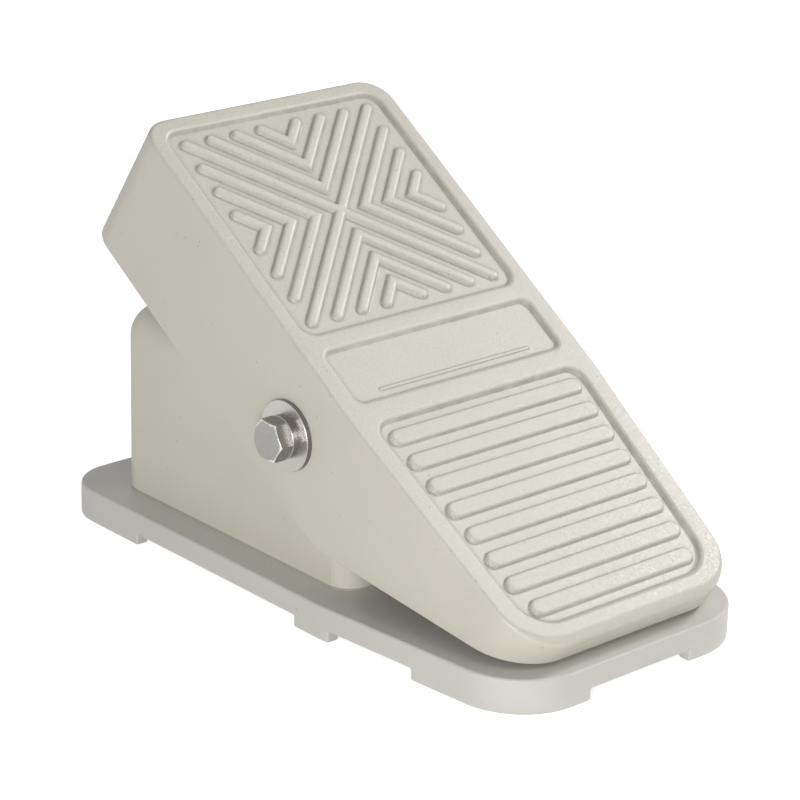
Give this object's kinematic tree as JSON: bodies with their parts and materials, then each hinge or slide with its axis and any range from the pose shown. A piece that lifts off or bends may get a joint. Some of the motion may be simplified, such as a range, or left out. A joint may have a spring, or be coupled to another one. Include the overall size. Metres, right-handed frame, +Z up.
{
  "type": "foot pedal",
  "caption": "Speed control foot pedal: a ribbed cast treadle rocks on a bolted shaft over a closed housing on a low notched base plate.",
  "frame": {"origin": "middle of the base plate, on the floor that its feet stand on", "axes": "+X to the right of a person whose heel is at -Y, +Y towards the toe end, +Z up"},
  "size_m": [0.1242, 0.228, 0.1471],
  "materials": {
    "cast_paint": "satin light warm grey paint on a cast metal",
    "stainless_steel": "bright stainless fasteners",
    "bright_steel": "turned or rolled steel",
    "zinc_plated_steel": "zinc plated",
    "brass": "plain brass",
    "black_rubber": "matt moulded rubber",
    "grey_gasket": "pressed grey gasket sheet",
    "dark_nylon": "moulded nylon",
    "brown_phenolic": "moulded phenolic",
    "pale_plastic": "moulded plastic"
  },
  "bodies": {
    "base": {"base_plate": "cast_paint", "housing": "cast_paint", "housing_gasket": "grey_gasket", "housing_screws": "zinc_plated_steel", "shaft_bush_left": "brass", "shaft_bush_right": "brass", "shaft_seal_left": "black_rubber", "shaft_seal_right": "black_rubber", "toe_buffers": "black_rubber", "toe_buffer_screws": "zinc_plated_steel", "heel_buffers": "black_rubber", "heel_buffer_screws": "zinc_plated_steel", "gland_body": "dark_nylon", "gland_nut": "dark_nylon", "gland_seal": "black_rubber", "gland_locknut": "dark_nylon", "pot_bracket": "bright_steel", "pot_bracket_screws": "zinc_plated_steel", "pot_case": "bright_steel", "pot_tags": "brass", "pot_washer": "zinc_plated_steel", "pot_nut": "zinc_plated_steel", "switch_bracket": "bright_steel", "switch_bracket_screws": "zinc_plated_steel", "switch_case": "brown_phenolic", "switch_screws": "zinc_plated_steel", "switch_tags": "brass", "terminal_block": "pale_plastic", "terminal_clamps": "brass", "terminal_screws": "zinc_plated_steel", "return_spring": "bright_steel"},
    "treadle": {"treadle": "cast_paint", "pivot_shaft": "bright_steel", "pivot_bolt_left": "stainless_steel", "pivot_bolt_right": "stainless_steel", "split_washers": "stainless_steel", "flat_washers": "stainless_steel", "treadle_keys": "bright_steel", "shaft_circlips": "zinc_plated_steel", "sector_gear": "bright_steel", "sector_grub_screw": "zinc_plated_steel", "spring_pin": "bright_steel", "switch_cam": "bright_steel", "cam_grub_screw": "zinc_plated_steel"},
    "pot_rotor": {"pot_spindle": "bright_steel", "pinion": "brass", "pinion_grub_screw": "zinc_plated_steel"},
    "switch_plunger": {"switch_plunger": "pale_plastic"}
  },
  "joints": [
    {"name": "treadle_tilt", "type": "hinge", "parent": "base", "child": "treadle", "pos_m": [0, -0.0024, 0.0616], "axis": [-1, 0, 0], "range_deg": [0, 25], "stiffness_Nm_per_rad": 6.9, "springref_deg": -16.62, "deforming": ["return_spring"]},
    {"name": "pot_turn", "type": "hinge", "parent": "base", "child": "pot_rotor", "pos_m": [0, 0.0427, 0.04518], "axis": [1, 0, 0], "range_deg": [0, 180]},
    {"name": "plunger_slide", "type": "slide", "parent": "base", "child": "switch_plunger", "axis": [0, 0, -1], "range_m": [0, 0.0012]}
  ],
  "couplings": [
    {"joint": "pot_turn", "follows": "treadle_tilt", "ratio": 7},
    {"joint": "plunger_slide", "follows": "treadle_tilt", "m_per_rad": 0.00275}
  ]
}
